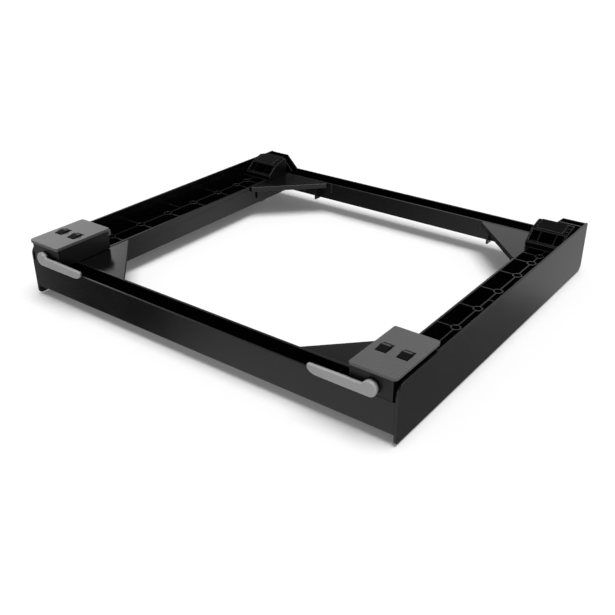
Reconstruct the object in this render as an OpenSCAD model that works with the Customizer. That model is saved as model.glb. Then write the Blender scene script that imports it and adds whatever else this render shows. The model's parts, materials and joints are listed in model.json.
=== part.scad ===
// Wheeled stand for a freestanding kitchen or laundry appliance.
// Two side rails, a front bar and a rear bar are joined by four gussets.
// A wheel runs under each corner; a lever brakes each front wheel.
// X runs along the front, Y from front to back, Z up; Z = 0 is the floor.

/* [Frame] */
// Width over the two side walls
frame_w = 600; // [570:1:640]
// Depth from the front face to the rear face
frame_d = 539; // [500:1:620]
// Thickness of the moulded walls
wall = 3; // [2.5:0.1:3.4]
// Height of the side walls above the floor
wheel_drop = 2; // [1:0.5:4]
// Height of a side wall
side_h = 75.6; // [70:0.1:79]
// Radius of the side wall's upper front corner
side_front_r = 15; // [4:1:24]
// Radius of the side wall's lower front corner
side_foot_r = 5; // [1:1:10]
// Radius of the side wall's lower rear corner
side_heel_r = 9; // [1:1:14]
// Width of a rail, outer face to inner face
rail_w = 55.5; // [55:0.5:57]
// Height of the rail's floor above the foot of the side wall
rail_lift = 19; // [16:0.5:22]
// Height of the rail's inner wall
rail_h = 34.6; // [32:0.1:38]

/* [Ribs of the rails] */
// Thickness of the ribs
rib_t = 2; // [1.5:0.1:2.6]
// Outer radius of the hollow bosses
boss_r = 6.8; // [5:0.1:8]
// Wall of the hollow bosses
boss_wall = 2; // [1.5:0.1:2.5]
// Distance from the side wall's outer face to the boss centres
boss_inset = 27.5; // [24:0.5:32]
// Distance from the front face to the first boss
boss_start = 120.2; // [115:0.1:130]
// Spacing of the even row of bosses
boss_pitch = 58.9; // [54:0.1:62]
// Number of bosses in the even row
boss_count = 5; // [3:1:5]
// Distance from the rear face to the two rear bosses
rear_bosses = [135.4, 107.3];
// Spacing of the short outer ribs
outer_rib_pitch = 88.3; // [80:0.1:95]

/* [Front and rear bars] */
// Depth of the front bar
bar_d = 30; // [28:0.5:32]
// Height of the front bar's lower edge above the foot of the side wall
bar_lift = 12.7; // [10:0.1:16]
// Height of the front bar
bar_h = 42.8; // [40:0.1:45]
// Depth of the rear bar
rear_bar_d = 34; // [32:0.5:36]
// Height of the rear bar's lower edge above the foot of the side wall
rear_bar_lift = 24; // [22:0.5:26]
// Height of the rear bar
rear_bar_h = 29.1; // [26:0.1:31]
// Depth of the raised shoulder behind the rear housing
shoulder_d = 18.5; // [15:0.5:20]
// Distance from the side to the top of the shoulder's slope
shoulder_w = 37.5; // [32:0.5:42]
// Height of the shoulder above the foot of the side wall
shoulder_h = 74.7; // [68:0.1:75]
// Run of the shoulder's slope
shoulder_run = 21.6; // [16:0.1:23]

/* [Gussets] */
// Length of a gusset's legs
gusset_leg = 99; // [90:1:110]
// Thickness of a gusset's top
gusset_t = 3; // [2:0.1:4]
// Depth of a gusset's rim
gusset_rim = 8; // [6:0.5:10]
// How far a gusset's top lies below the rail's top edge
gusset_drop = 0.8; // [0.4:0.1:2]
// Depth of the screw flanges under a gusset's rim
flange_h = 16; // [14:0.5:18]
// Distance of the screws from the gusset's corner
gusset_screw_at = [12, 46];
// Radius of the gusset screws
gusset_screw_r = 2; // [1.5:0.1:2.2]

/* [Wheels] */
// Radius of the wheels
wheel_r = 20; // [19:0.5:20.5]
// Width of the tyres
tyre_w = 12; // [9:0.5:13]
// Thickness of the tyres
tyre_t = 4; // [2.5:0.5:5]
// Distance from the front face to the front axles
front_axle_at = 62.5; // [61:0.5:64]
// Distance from the rear face to the rear axles
rear_axle_at = 59.5; // [58:0.5:61]
// Radius of the axles
axle_r = 3; // [2.5:0.1:3.5]

/* [Front housings and plates] */
// Width of a housing
housing_w = 54; // [53:0.5:54.5]
// Gap between a housing and the side wall
side_gap = 3.5; // [3:0.1:4]
// Depth of a front housing
housing_d = 89.5; // [88.5:0.5:91]
// Height of a front housing above the rail
housing_h = 26.7; // [26:0.1:28]
// Width of a plate
plate_w = 59; // [56:0.5:60]
// How far a plate reaches past its housing's rear wall
plate_lap = 2.5; // [1:0.1:3.5]
// Thickness of a plate
plate_t = 4.1; // [3:0.1:5]
// How far a plate stands proud of the front face
plate_proud = 2; // [1:0.1:3]
// Radii of a plate's corners: inner front, outer front, outer rear, inner rear
plate_corners = [2.5, 6, 4, 2.5];
// Width of a rubber block
block_w = 12.8; // [10:0.1:16]
// Depth of a rubber block
block_d = 14; // [12:0.1:16]
// Height of a rubber block above its plate
block_h = 2.4; // [1.5:0.1:4]
// Gap between a rubber block and the sides of its window
block_gap = 0.7; // [0.3:0.1:1.2]
// Depth of a plate's windows
window_d = 20; // [18:0.1:24]
// Distance between the centres of the two blocks of a plate
block_pitch = 26.5; // [22:0.1:28]
// Distance from the plate's front edge to its windows
window_at = 36.2; // [34:0.1:40]

/* [Rear housings] */
// Depth of a rear housing
rear_housing_d = 47.5; // [47:0.5:48]
// Gap between a rear housing and the rear bar
rear_housing_gap = 2; // [1.6:0.1:2.2]
// Thickness of the cap on a rear housing
cap_t = 2.6; // [2:0.1:4]
// Width of the cap
cap_w = 39.5; // [34:0.5:40]
// Distance from the housing's inner face to the cap
cap_inset = 7; // [5:0.5:8]

/* [Brake levers] */
// Distance from the side wall's outer face to a lever's pivot
lever_inset = 31.5; // [31:0.1:32.5]
// Radius of a lever's hub
hub_r = 9.6; // [9:0.1:10]
// Length of a lever from its pivot to its tip
lever_l = 80; // [70:0.5:90]
// Height of a lever's arm at its tip
lever_h = 11.9; // [10:0.1:13]
// How much the arm grows towards the hub
lever_taper = 1.5; // [0:0.1:3]
// Thickness of a lever's hub
lever_t = 7; // [6:0.5:8]
// Thickness of a lever's arm
arm_t = 4.6; // [3:0.1:6]
// Gap between a lever and the front face
lever_gap = 1; // [0.6:0.1:2]
// Angle through which a lever is pressed down
lever_swing = 40; // [30:1:40]
// Distance that a brake shoe travels
brake_travel = 3; // [2.5:0.1:3.5]
// Radius of the lever shafts
shaft_r = 4; // [3.5:0.1:4.5]
// Side of the square end of a lever shaft
square_end = 5.6; // [4:0.1:6]
// Lift of the cam at rest, from the shaft's centre
cam_rest = 9; // [8.5:0.1:10]
// Radius of the cam's hub
cam_hub_r = 7; // [6:0.1:7.5]
// Width of a cam
cam_w = 10; // [8:0.5:12]

/* [Brake shoes] */
// Height of a brake shoe
shoe_h = 9.3; // [9:0.1:10.5]
// Thickness of a brake lining at its middle
lining_t = 3.7; // [3:0.1:4.5]
// Length of a brake lining
lining_l = 22; // [16:0.5:24]
// Distance of the guide pins from the axle
pin_offset = 13; // [12:0.1:15]
// Radius of the guide pins
pin_r = 2; // [1.5:0.1:2.2]
// Length of a brake spring at rest
spring_l = 10; // [9:0.1:10.5]
// Mean radius of a brake spring
spring_r = 3.2; // [3:0.1:3.3]
// Wire of a brake spring
spring_wire = 0.9; // [0.6:0.1:1]
// Number of turns of a brake spring
spring_turns = 4.5; // [3:0.5:5]

/* [Hidden] */
$fn = 64;

// Colours
black = "#1b1b1d";
soft_black = "#262628";
grey = "#6e6f71";
light_grey = "#b9babb";
steel = "#9a9da0";

// Clearances
press = 0.02;      // held tight
run = 0.05;        // turns or slides
apart = 0.3;       // faces that pass each other
over = 1;          // how far a cut runs past its face
seam = 0.1;        // parting line between two mouldings
face_seam = 0.3;   // parting line between the front bar and a housing

// Plan: the levers reach past the front face, and Y = 0 is midway over all
lever_reach = lever_gap + lever_t;
y_front = -(frame_d - lever_reach) / 2;
y_rear = y_front + frame_d;
x_side = frame_w / 2;
x_wall = x_side - wall;
x_rail = x_side - rail_w;
x_house1 = x_wall - side_gap;
x_house0 = x_house1 - housing_w;
y_trough0 = y_front + bar_d;
y_trough1 = y_rear - rear_bar_d;
y_house1 = y_front + housing_d;
y_axle_f = y_front + front_axle_at;
y_axle_r = y_rear - rear_axle_at;
y_arch1 = y_trough1 - rear_housing_gap;
y_arch0 = y_arch1 - rear_housing_d;

// Heights
z_side1 = wheel_drop + side_h;
z_rail0 = wheel_drop + rail_lift;
z_rail1 = z_rail0 + rail_h;
z_bar0 = wheel_drop + bar_lift;
z_bar1 = z_bar0 + bar_h;
z_rbar0 = wheel_drop + rear_bar_lift;
z_rbar1 = z_rbar0 + rear_bar_h;
z_deck = z_rail1 + seam;
z_house1 = z_deck + housing_h;
z_plate1 = z_house1 + plate_t;
z_gusset = z_rail1 - gusset_drop;

// Brake train, from the wheel's tread up to the shaft
z_shoe0 = 2 * wheel_r + apart + brake_travel + lining_t;
z_shoe1 = z_shoe0 + shoe_h;
z_shaft = z_shoe1 + apart + cam_rest;
z_shelf = z_shoe0 - spring_l;
cam_base = brake_travel / (lever_swing * PI / 180);

// Wheels between two fork plates; the outer plate continues the housing's side
bush_w = tyre_w + 0.6;
washer_t = 1;
washer_gap = 0.1;
fork_gap = bush_w + 2 * washer_t + 4 * washer_gap;
axle_over = 2;      // how far an axle reaches past its fork plates
fork_r = 8;
fork_half = wheel_r + 4;
well_half = fork_half + 0.5;
x_fork = [x_house1 - 2 * wall - fork_gap, x_house1 - wall];
x_wheel = x_fork[1] - fork_gap / 2;

// Brake well beside the wheel: a hanger, a shelf and the inner fork plate
x_lever = x_side - lever_inset;
x_well = x_lever - 11.5;
x_pin = (x_well + x_fork[0]) / 2;
shelf_t = 3;
well_gap = 1;

// Fixings of the housings: posts that stand clear of the gusset screws
post_r = 3.2;
post_spread = 9;
housing_screw_r = 1.5;
x_post = x_rail + wall + 2.5;
screw_mid = (gusset_screw_at[0] + gusset_screw_at[1]) / 2;

function front_posts() = [
    [x_post, y_trough0 + screw_mid - post_spread],
    [x_post, y_trough0 + screw_mid + post_spread],
    [x_fork[1] - 4, y_trough0 + post_r + 1.3]
];
function rear_posts() = [
    [x_post, y_axle_r],
    [x_fork[0] - 7, y_axle_r + post_spread]
];
function boss_y() = concat(
    [for (i = [0 : boss_count - 1]) y_front + boss_start + i * boss_pitch],
    [for (d = rear_bosses) y_rear - d]
);
function outer_rib_y() = [for (i = [0 : 2]) y_front + boss_start + boss_pitch + i * outer_rib_pitch];

// Block from one corner to the opposite one
module span(a, b) {
    translate(a) cube(b - a);
}

// Outline drawn in Y and Z, carried along X
module along_x(x0, x1) {
    translate([x0, 0, 0]) rotate([90, 0, 90]) linear_extrude(x1 - x0) children();
}

// Outline drawn in X and Z, carried along Y
module along_y(y0, y1) {
    translate([0, y1, 0]) rotate([90, 0, 0]) linear_extrude(y1 - y0) children();
}

module rod_x(x0, x1, y, z, r) {
    translate([x0, y, z]) rotate([0, 90, 0]) cylinder(h = x1 - x0, r = r);
}

module rod_y(y0, y1, x, z, r) {
    translate([x, y1, z]) rotate([90, 0, 0]) cylinder(h = y1 - y0, r = r);
}

module rod_z(z0, z1, x, y, r) {
    translate([x, y, z0]) cylinder(h = z1 - z0, r = r);
}

// What a corner's arc cuts away; sx and sy point into the outline
module corner_waste(p, sx, sy, r) {
    difference() {
        translate([p.x + (sx > 0 ? -over : -r), p.y + (sy > 0 ? -over : -r)]) square(r + over);
        translate([p.x + sx * r, p.y + sy * r]) circle(r);
    }
}

// Rectangle with its own radius at each corner, anticlockwise from the first
module rounded(a, b, r) {
    difference() {
        translate(a) square(b - a);
        corner_waste(a, 1, 1, r[0]);
        corner_waste([b.x, a.y], -1, 1, r[1]);
        corner_waste(b, -1, -1, r[2]);
        corner_waste([a.x, b.y], 1, -1, r[3]);
    }
}

// Mirror to the left side
module left() {
    mirror([1, 0, 0]) children();
}

// Rails
module side_wall() {
    along_x(x_wall, x_side)
        rounded([y_front, wheel_drop], [y_rear, z_side1], [side_foot_r, side_heel_r, 1, side_front_r]);
}

module rail_ribs() {
    x_boss = x_side - boss_inset;
    z0 = z_rail0 + wall / 2;
    span([x_boss - rib_t / 2, y_house1, z0], [x_boss + rib_t / 2, y_arch0, z_rail1]);
    span([x_rail, y_house1, z0], [x_wall, y_house1 + rib_t, z_rail1]);
    span([x_rail, y_arch0 - rib_t, z0], [x_wall, y_arch0, z_rail1]);
    for (y = boss_y()) {
        rod_z(z0, z_rail1, x_boss, y, boss_r);
        span([x_rail, y - rib_t / 2, z0], [x_boss, y + rib_t / 2, z_rail1]);
    }
    for (y = outer_rib_y())
        span([x_boss, y - rib_t / 2, z0], [x_wall + wall / 2, y + rib_t / 2, z_rail1]);
}

module rail_posts() {
    z0 = z_rail0 + wall / 2;
    for (p = concat(front_posts(), rear_posts())) {
        rod_z(z0, z_rail1, p.x, p.y, post_r);
        if (p.x > x_fork[0])
            span([p.x, p.y - rib_t / 2, z0], [x_wall + wall / 2, p.y + rib_t / 2, z_rail1]);
    }
}

// Raised shoulder and the end of the rear channel
module rail_shoulder() {
    z_top = wheel_drop + shoulder_h;
    x_top = x_side - shoulder_w;
    x_foot = x_top - shoulder_run;
    y_step = y_rear - shoulder_d;
    for (y = [y_step, y_rear - wall])
        along_y(y, y + wall)
            polygon([[x_foot, z_rbar0], [x_side - wall / 2, z_rbar0], [x_side - wall / 2, z_top],
                [x_top, z_top], [x_foot, z_rbar1]]);
    span([x_foot, y_trough1, z_rbar0], [x_side - wall / 2, y_rear, z_rbar0 + wall]);
    span([x_foot, y_trough1, z_rbar0], [x_side - wall / 2, y_trough1 + wall, z_rbar1]);
    span([x_rail, y_trough1, z_rail0], [x_side - wall / 2, y_trough1 + wall, z_rbar0 + wall]);
}

module right_rail() {
    color(black) difference() {
        union() {
            side_wall();
            span([x_rail, y_trough0, z_rail0], [x_rail + wall, y_trough1 + wall, z_rail1]);
            span([x_rail, y_trough0, z_rail0], [x_side - wall / 2, y_trough1 + wall, z_rail0 + wall]);
            rail_ribs();
            rail_posts();
            rail_shoulder();
        }
        for (y = boss_y())
            rod_z(z_rail0 + wall, z_rail1 + over, x_side - boss_inset, y, boss_r - boss_wall);
        for (w = [[x_well - wall - well_gap / 2, y_axle_f], [x_fork[0] - axle_over - well_gap, y_axle_r]])
            span([w[0], w[1] - well_half, z_rail0 - over], [x_wall, w[1] + well_half, z_rail0 + wall + over]);
        for (p = concat(front_posts(), rear_posts()))
            rod_z(z_rail0 + wall, z_rail1 + over, p.x, p.y, housing_screw_r + press);
        for (y = rail_screw_y())
            rod_x(x_rail - over, x_rail + wall + over, y, z_gusset_screw, gusset_screw_r + press);
    }
}

module left_rail() {
    left() right_rail();
}

// Front and rear bars
module front_bar() {
    x_end = x_wall - press;
    z_corner = z_deck - face_seam;
    color(black) difference() {
        union() {
            span([-x_end, y_front, z_bar0], [x_end, y_front + wall, z_bar1]);
            span([-x_end, y_trough0 - wall, z_bar0], [x_end, y_trough0 - seam, z_bar1]);
            span([-x_end, y_front, z_bar0], [x_end, y_trough0 - seam, z_bar0 + wall]);
        }
        for (s = [-1, 1])
            translate([s > 0 ? x_house0 - face_seam : -x_side - over, y_front - over, z_corner])
                cube([x_side - x_house0 + face_seam + over, bar_d + 2 * over, bar_h]);
        for (x = bar_screw_x())
            rod_y(y_trough0 - wall - over, y_trough0 + over, x, z_gusset_screw, gusset_screw_r + press);
    }
}

// Stop ribs beside the rear gussets
stop_gap = 5;
stop_t = 1.5;
stop_h = 16;

module rear_bar() {
    x_end = x_side - shoulder_w - shoulder_run - seam;
    color(black) difference() {
        union() {
            span([-x_end, y_trough1, z_rbar0], [x_end, y_trough1 + wall, z_rbar1]);
            span([-x_end, y_rear - wall, z_rbar0], [x_end, y_rear, z_rbar1]);
            span([-x_end, y_trough1, z_rbar0], [x_end, y_rear, z_rbar0 + wall]);
            for (x = [-1, 1] * (x_rail - gusset_leg - stop_gap))
                span([x - rib_t / 2, y_trough1 - stop_t, z_rbar1 - stop_h],
                    [x + rib_t / 2, y_trough1 + wall / 2, z_rbar1 - 2]);
        }
        for (x = bar_screw_x())
            rod_y(y_trough1 - over, y_trough1 + wall + over, x, z_gusset_screw, gusset_screw_r + press);
    }
}

// Gussets: drawn with the corner at the origin and the legs along X and Y
gusset_blunt = 3;
flange_short = 18;  // how far a flange stops short of the leg's end
flange_l = gusset_leg - flange_short;
hook_l = 14;
hook_w = 3;
hook_drop = 5.2;
hook_bevel = 2;
z_flange = z_gusset - gusset_rim - flange_h;
z_gusset_screw = z_flange + 2 * gusset_screw_r;

function rail_screw_y() = concat(
    [for (d = gusset_screw_at) y_trough0 + d],
    [for (d = gusset_screw_at) y_trough1 - d]
);
function bar_screw_x() = concat(
    [for (d = gusset_screw_at) x_rail - d],
    [for (d = gusset_screw_at) d - x_rail]
);

// Triangle of the gusset, drawn in from its edges by t
module gusset_outline(t) {
    far = gusset_leg - t * sqrt(2);
    blunt = gusset_blunt + t;
    polygon([[t, t], [far - blunt, t], [far - blunt, blunt], [blunt, far - blunt], [t, far - blunt]]);
}

module gusset_hook() {
    along_x(flange_l - hook_w, flange_l)
        polygon([[0, z_gusset - gusset_t], [hook_l, z_gusset - gusset_t], [hook_l, z_flange - hook_drop],
            [hook_bevel / 2, z_flange - hook_drop], [0, z_flange - hook_drop + hook_bevel]]);
}

module gusset() {
    color(black) difference() {
        union() {
            translate([0, 0, z_gusset - gusset_t]) linear_extrude(gusset_t) gusset_outline(seam);
            translate([0, 0, z_gusset - gusset_rim]) linear_extrude(gusset_rim)
                difference() {
                    gusset_outline(seam);
                    gusset_outline(wall);
                }
            span([seam, seam, z_flange], [flange_l, wall, z_gusset - gusset_t]);
            span([seam, seam, z_flange], [wall, flange_l, z_gusset - gusset_t]);
            translate([0, seam, 0]) gusset_hook();
        }
        for (d = gusset_screw_at) {
            rod_x(-over, wall + over, d, z_gusset_screw, gusset_screw_r + press);
            rod_y(-over, wall + over, d, z_gusset_screw, gusset_screw_r + press);
        }
    }
}

module front_right_gusset() {
    translate([x_rail, y_trough0, 0]) mirror([1, 0, 0]) gusset();
}

module rear_right_gusset() {
    translate([x_rail, y_trough1, 0]) mirror([0, 1, 0]) mirror([1, 0, 0]) gusset();
}

module front_left_gusset() {
    left() front_right_gusset();
}

module rear_left_gusset() {
    left() rear_right_gusset();
}

// Screw with a pan head, standing along -Z under its head
module pan_screw(r, l) {
    translate([0, 0, -l]) cylinder(h = l, r = r);
    cylinder(h = r * 1.1, r = r * 1.9);
}

module gusset_screws() {
    l = 2 * wall;
    color(steel) for (side = [-1, 1]) {
        for (y = rail_screw_y())
            translate([side * (x_rail - wall), y, z_gusset_screw])
                rotate([0, -side * 90, 0]) pan_screw(gusset_screw_r, l);
        for (d = gusset_screw_at) {
            translate([side * (x_rail - d), y_trough0 + wall, z_gusset_screw])
                rotate([-90, 0, 0]) pan_screw(gusset_screw_r, l);
            translate([side * (x_rail - d), y_trough1 - wall, z_gusset_screw])
                rotate([90, 0, 0]) pan_screw(gusset_screw_r, l);
        }
    }
}

module housing_screws() {
    bite = 12;      // how far a screw reaches into its post
    color(steel) for (side = [-1, 1])
        for (p = concat(front_posts(), rear_posts()))
            translate([side * p.x, p.y, z_deck + wall])
                pan_screw(housing_screw_r, wall + bite);
}

// Front housings
// Fork plate in Y and Z round an axle at y; the top joins the deck
module fork_outline(y, z_wide, half) {
    difference() {
        union() {
            polygon([[y - half, z_deck + wall], [y - half, z_wide], [y - fork_r, wheel_r - fork_r / 2],
                [y + fork_r, wheel_r - fork_r / 2], [y + half, z_wide], [y + half, z_deck + wall]]);
            translate([y, wheel_r]) circle(fork_r);
        }
        translate([y, wheel_r]) circle(axle_r + press);
    }
}

mid_y = y_trough0 - wall / 2;
pad_base_t = 1.5;
z_pad = z_house1 - pad_base_t;
y_window = y_front - plate_proud + window_at;
pad_lap = 4;        // how far a pad's base reaches past the windows
pad_y0 = y_window - pad_lap;
pad_y1 = y_window + window_d + pad_lap;

module housing_shell() {
    difference() {
        span([x_house0, y_front, z_deck], [x_house1, y_house1, z_house1]);
        span([x_house0 + wall, y_front + wall, z_deck - over],
            [x_house1 - wall, y_house1 - wall, z_house1 + over]);
    }
    for (y = [pad_y0, pad_y1 - rib_t])
        span([x_house0 + wall / 2, y, z_pad - 4], [x_house1 - wall / 2, y + rib_t, z_pad]);
    span([x_house0, mid_y, z_deck], [x_house1, mid_y + rib_t, z_pad]);
    span([x_house0, y_trough0 - wall, z_deck], [x_house1, y_house1, z_deck + wall]);
}

// Hanger and shelf that carry the guide pins
module brake_well() {
    shelf_half = pin_offset + 6;
    span([x_well - wall, y_axle_f - shelf_half, z_shelf - shelf_t],
        [x_well, y_axle_f + shelf_half, z_deck + wall]);
    span([x_well - wall, y_axle_f - shelf_half, z_shelf - shelf_t],
        [x_fork[0] + wall, y_axle_f + shelf_half, z_shelf]);
}

module right_front_housing() {
    notch_half = arm_half + well_gap;
    pad_half = cam_w / 2 + 2;
    color(soft_black) difference() {
        union() {
            housing_shell();
            brake_well();
            for (x = x_fork)
                along_x(x, x + wall) fork_outline(y_axle_f, z_shelf - shelf_t, fork_half);
        }
        span([x_fork[0] - over, y_axle_f - notch_half, z_shoe0 - brake_travel - well_gap],
            [x_fork[0] + wall + over, y_axle_f + notch_half, z_deck]);
        span([x_well, y_axle_f - pad_half, z_deck - over],
            [x_fork[0], y_axle_f + pad_half, z_deck + wall + over]);
        rod_y(y_front - over, y_front + lever_gap, x_lever, z_shaft, shaft_bush_r + 2);
        rod_y(y_front - over, y_front + wall + over, x_lever, z_shaft, shaft_bush_r + press);
        rod_y(mid_y - over, mid_y + rib_t + over, x_lever, z_shaft, shaft_r + 1);
        rod_y(y_house1 - wall - over, y_house1 + over, x_lever, z_shaft, shaft_r + run);
        for (s = [-1, 1])
            rod_z(z_shelf - shelf_t - over, z_shelf + over, x_pin, y_axle_f + s * pin_offset, pin_r + press);
        for (p = front_posts())
            rod_z(z_deck - over, z_deck + wall + over, p.x, p.y, housing_screw_r + press);
    }
}

module left_front_housing() {
    left() right_front_housing();
}

// Cover plates and the rubber pads under them
tab_l = 8;
tab_w = 8;
tab_t = 4.2;
x_plate1 = x_side - 2;
x_plate0 = x_plate1 - plate_w;
y_plate0 = y_front - plate_proud;
y_plate1 = y_house1 + plate_lap;

function block_x() = [x_lever - block_pitch / 2, x_lever + block_pitch / 2];

// Rounded tab of the plate behind the housing
module rear_tab() {
    y0 = y_house1 + seam;
    along_x(x_house0, x_house0 + tab_w)
        rounded([y0, z_house1 - tab_l], [y0 + tab_t, z_house1 + over], [0.5, 3.6, 0.8, 0.1]);
}

module right_plate() {
    clip_w = 8;
    clip_t = 2;
    clip_l = 9;
    clip_at = 18;   // from the housing's front and rear faces
    color(grey) {
        translate([0, 0, z_house1]) linear_extrude(plate_t) difference() {
            rounded([x_plate0, y_plate0], [x_plate1, y_plate1], plate_corners);
            for (x = block_x())
                translate([x - block_w / 2 - block_gap, y_window])
                    square([block_w + 2 * block_gap, window_d]);
        }
        for (y = [y_front + clip_at, y_house1 - clip_at])
            for (x = [x_house0 + wall + seam, x_house1 - wall - seam - clip_t])
                span([x, y - clip_w / 2, z_house1 - clip_l], [x + clip_t, y + clip_w / 2, z_house1 + over]);
        rear_tab();
    }
}

module left_plate() {
    left() right_plate();
}

module right_grip_pad() {
    y0 = y_window + block_gap;
    foot = 0.4;     // height of a block's front edge above the plate
    flat_d = 3.6;   // depth of its flat top
    pad_half = (block_pitch + block_w) / 2 + block_gap + 0.9;
    color(soft_black) {
        span([x_lever - pad_half, pad_y0, z_pad], [x_lever + pad_half, pad_y1, z_house1]);
        for (x = block_x())
            along_x(x - block_w / 2, x + block_w / 2)
                polygon([[y0, z_pad], [y0, z_plate1 + foot], [y0 + block_d - flat_d, z_plate1 + block_h],
                    [y0 + block_d, z_plate1 + block_h], [y0 + block_d, z_pad]]);
    }
}

module left_grip_pad() {
    left() right_grip_pad();
}

// Rear housings
arch_face = 6.5;        // height of the upright front face
arch_slope = [18, 15];  // run and rise of the sloping face
arch_crown = [22, 6];   // run and rise of the crown that carries the cap
rib_depth = 9;          // depth of the ribs under the sloping face
arch_ribs = [16.5, 39.8];

comb_slots = 3;         // slots in the crown on each side of the cap
comb_rim = 1.6;         // rim outside the slots
comb_pitch = arch_crown.x / comb_slots;
x_cap0 = x_house0 + cap_inset;
x_cap1 = x_cap0 + cap_w;
z_arch0 = z_deck + arch_face;
y_crown = y_arch0 + 1 + arch_slope.x;
z_crown = z_arch0 + arch_slope.y;
z_crown1 = z_crown + arch_crown.y - 1;

// Side profile of the arch
module arch_outline() {
    polygon([[y_arch0, z_deck], [y_arch0, z_arch0], [y_arch0 + 1, z_arch0 + 1], [y_crown, z_crown],
        [y_crown + arch_crown.x, z_crown1 + 1], [y_arch1, z_crown1], [y_arch1, z_deck]]);
}

// Inside of the arch: open above the sloping face, roofed by the crown
module arch_inside() {
    polygon([[y_arch0 + wall, z_deck - over], [y_arch0 + wall, z_crown + over], [y_crown - 1, z_crown + over],
        [y_crown - 1, z_crown - wall], [y_arch1 - wall, z_crown1 - wall], [y_arch1 - wall, z_deck - over]]);
}

// Rib between the cells of the sloping face
module cell_rib() {
    polygon([[y_arch0 + wall / 2, z_deck + wall / 2], [y_arch0 + wall / 2, z_arch0 + 1],
        [y_arch0 + 1.5, z_arch0 + 1.4], [y_crown, z_crown], [y_crown + wall, z_crown],
        [y_crown + wall, z_crown - rib_depth], [y_arch0 + wall + rib_depth, z_deck + wall / 2]]);
}

module right_rear_housing() {
    color(soft_black) difference() {
        union() {
            difference() {
                along_x(x_house0, x_house1) arch_outline();
                along_x(x_house0 + wall, x_house1 - wall) arch_inside();
            }
            for (r = arch_ribs)
                along_x(x_house0 + r - rib_t / 2, x_house0 + r + rib_t / 2) cell_rib();
            span([x_house0, y_arch0, z_deck], [x_house1, y_arch1, z_deck + wall]);
            for (x = x_fork)
                along_x(x, x + wall) fork_outline(y_axle_r, z_rail1 - 8, rear_housing_d / 2 - 2);
        }
        for (i = [0 : comb_slots - 1])
            for (x = [[x_house0 + comb_rim, x_cap0 - seam], [x_cap1 + seam, x_house1 - comb_rim]])
                span([x[0], y_crown + (i + 0.5) * comb_pitch, z_crown - wall - over],
                    [x[1], y_crown + (i + 1) * comb_pitch, z_crown + arch_crown.y + over]);
        for (p = rear_posts())
            rod_z(z_deck - over, z_deck + wall + over, p.x, p.y, housing_screw_r + press);
    }
}

module left_rear_housing() {
    left() right_rear_housing();
}

// Cap on the crown of the arch
module right_rear_cap() {
    color(soft_black) along_x(x_cap0, x_cap1)
        polygon([[y_crown, z_crown], [y_crown + arch_crown.x, z_crown + arch_crown.y],
            [y_crown + arch_crown.x, z_crown + arch_crown.y + cap_t], [y_crown + 3, z_crown + 1 + cap_t],
            [y_crown, z_crown + cap_t - 1]]);
}

module left_rear_cap() {
    left() right_rear_cap();
}

// Wheels: drawn round an axle along X at the origin
rim_r = wheel_r - tyre_t;
rim_w = tyre_w - 2;
bush_r = 4.8;
head_r = 5;
head_t = 1.5;
axle_end = fork_gap / 2 + wall + axle_over;

module rim() {
    spokes = 6;
    color(soft_black) difference() {
        rod_x(-rim_w / 2, rim_w / 2, 0, 0, rim_r);
        for (s = [-1, 1])
            difference() {
                rod_x(s > 0 ? 2 : -rim_w / 2 - over, s > 0 ? rim_w / 2 + over : -2, 0, 0, rim_r - 2.4);
                rod_x(-rim_w, rim_w, 0, 0, bush_r + 2.4);
                for (i = [0 : spokes - 1])
                    rotate([i * 360 / spokes, 0, 0]) span([-rim_w, 0, -1], [rim_w, rim_r, 1]);
            }
        rod_x(-rim_w, rim_w, 0, 0, bush_r + press);
    }
}

module tyre() {
    crown = 1.2;
    color("#2a2a2a") rotate([0, 90, 0]) rotate_extrude()
        polygon([[rim_r + press, -tyre_w / 2], [wheel_r - crown, -tyre_w / 2], [wheel_r, -tyre_w / 2 + crown],
            [wheel_r, tyre_w / 2 - crown], [wheel_r - crown, tyre_w / 2], [rim_r + press, tyre_w / 2]]);
}

module bush() {
    color(light_grey) difference() {
        rod_x(-bush_w / 2, bush_w / 2, 0, 0, bush_r);
        rod_x(-bush_w, bush_w, 0, 0, axle_r + run);
    }
}

module axle() {
    color(steel) {
        rod_x(-axle_end, axle_end, 0, 0, axle_r);
        rod_x(fork_gap / 2 + wall + seam, fork_gap / 2 + wall + seam + head_t, 0, 0, head_r);
    }
}

module washers() {
    washer_r = 6;
    for (s = [-1, 1])
        difference() {
            x = s * (bush_w / 2 + washer_gap + washer_t / 2);
            rod_x(x - washer_t / 2, x + washer_t / 2, 0, 0, washer_r);
            rod_x(x - washer_t, x + washer_t, 0, 0, axle_r + press);
        }
}

module clip_ring() {
    x = -fork_gap / 2 - wall - 0.2;
    difference() {
        rod_x(x - 1, x, 0, 0, head_r);
        rod_x(x - 2, x + over, 0, 0, axle_r + press);
    }
}

// Carries a wheel's piece to its corner: side is -1 for left, 1 for right
module at_wheel(side, y) {
    translate([side * x_wheel, y, wheel_r])
        if (side < 0) mirror([1, 0, 0]) children();
        else children();
}

module at_all_wheels() {
    for (side = [-1, 1])
        for (y = [y_axle_f, y_axle_r])
            at_wheel(side, y) children();
}

module axle_clips() {
    color(steel) at_all_wheels() clip_ring();
}

module thrust_washers() {
    color(light_grey) at_all_wheels() washers();
}

// Levers and their shafts
shaft_bush_r = 6;
shaft_bush_l = 9;
y_lever0 = y_front - lever_reach;
y_lever1 = y_front - lever_gap;
socket_d = lever_t - 2;
y_bush1 = y_front + lever_gap + shaft_bush_l;

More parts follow.
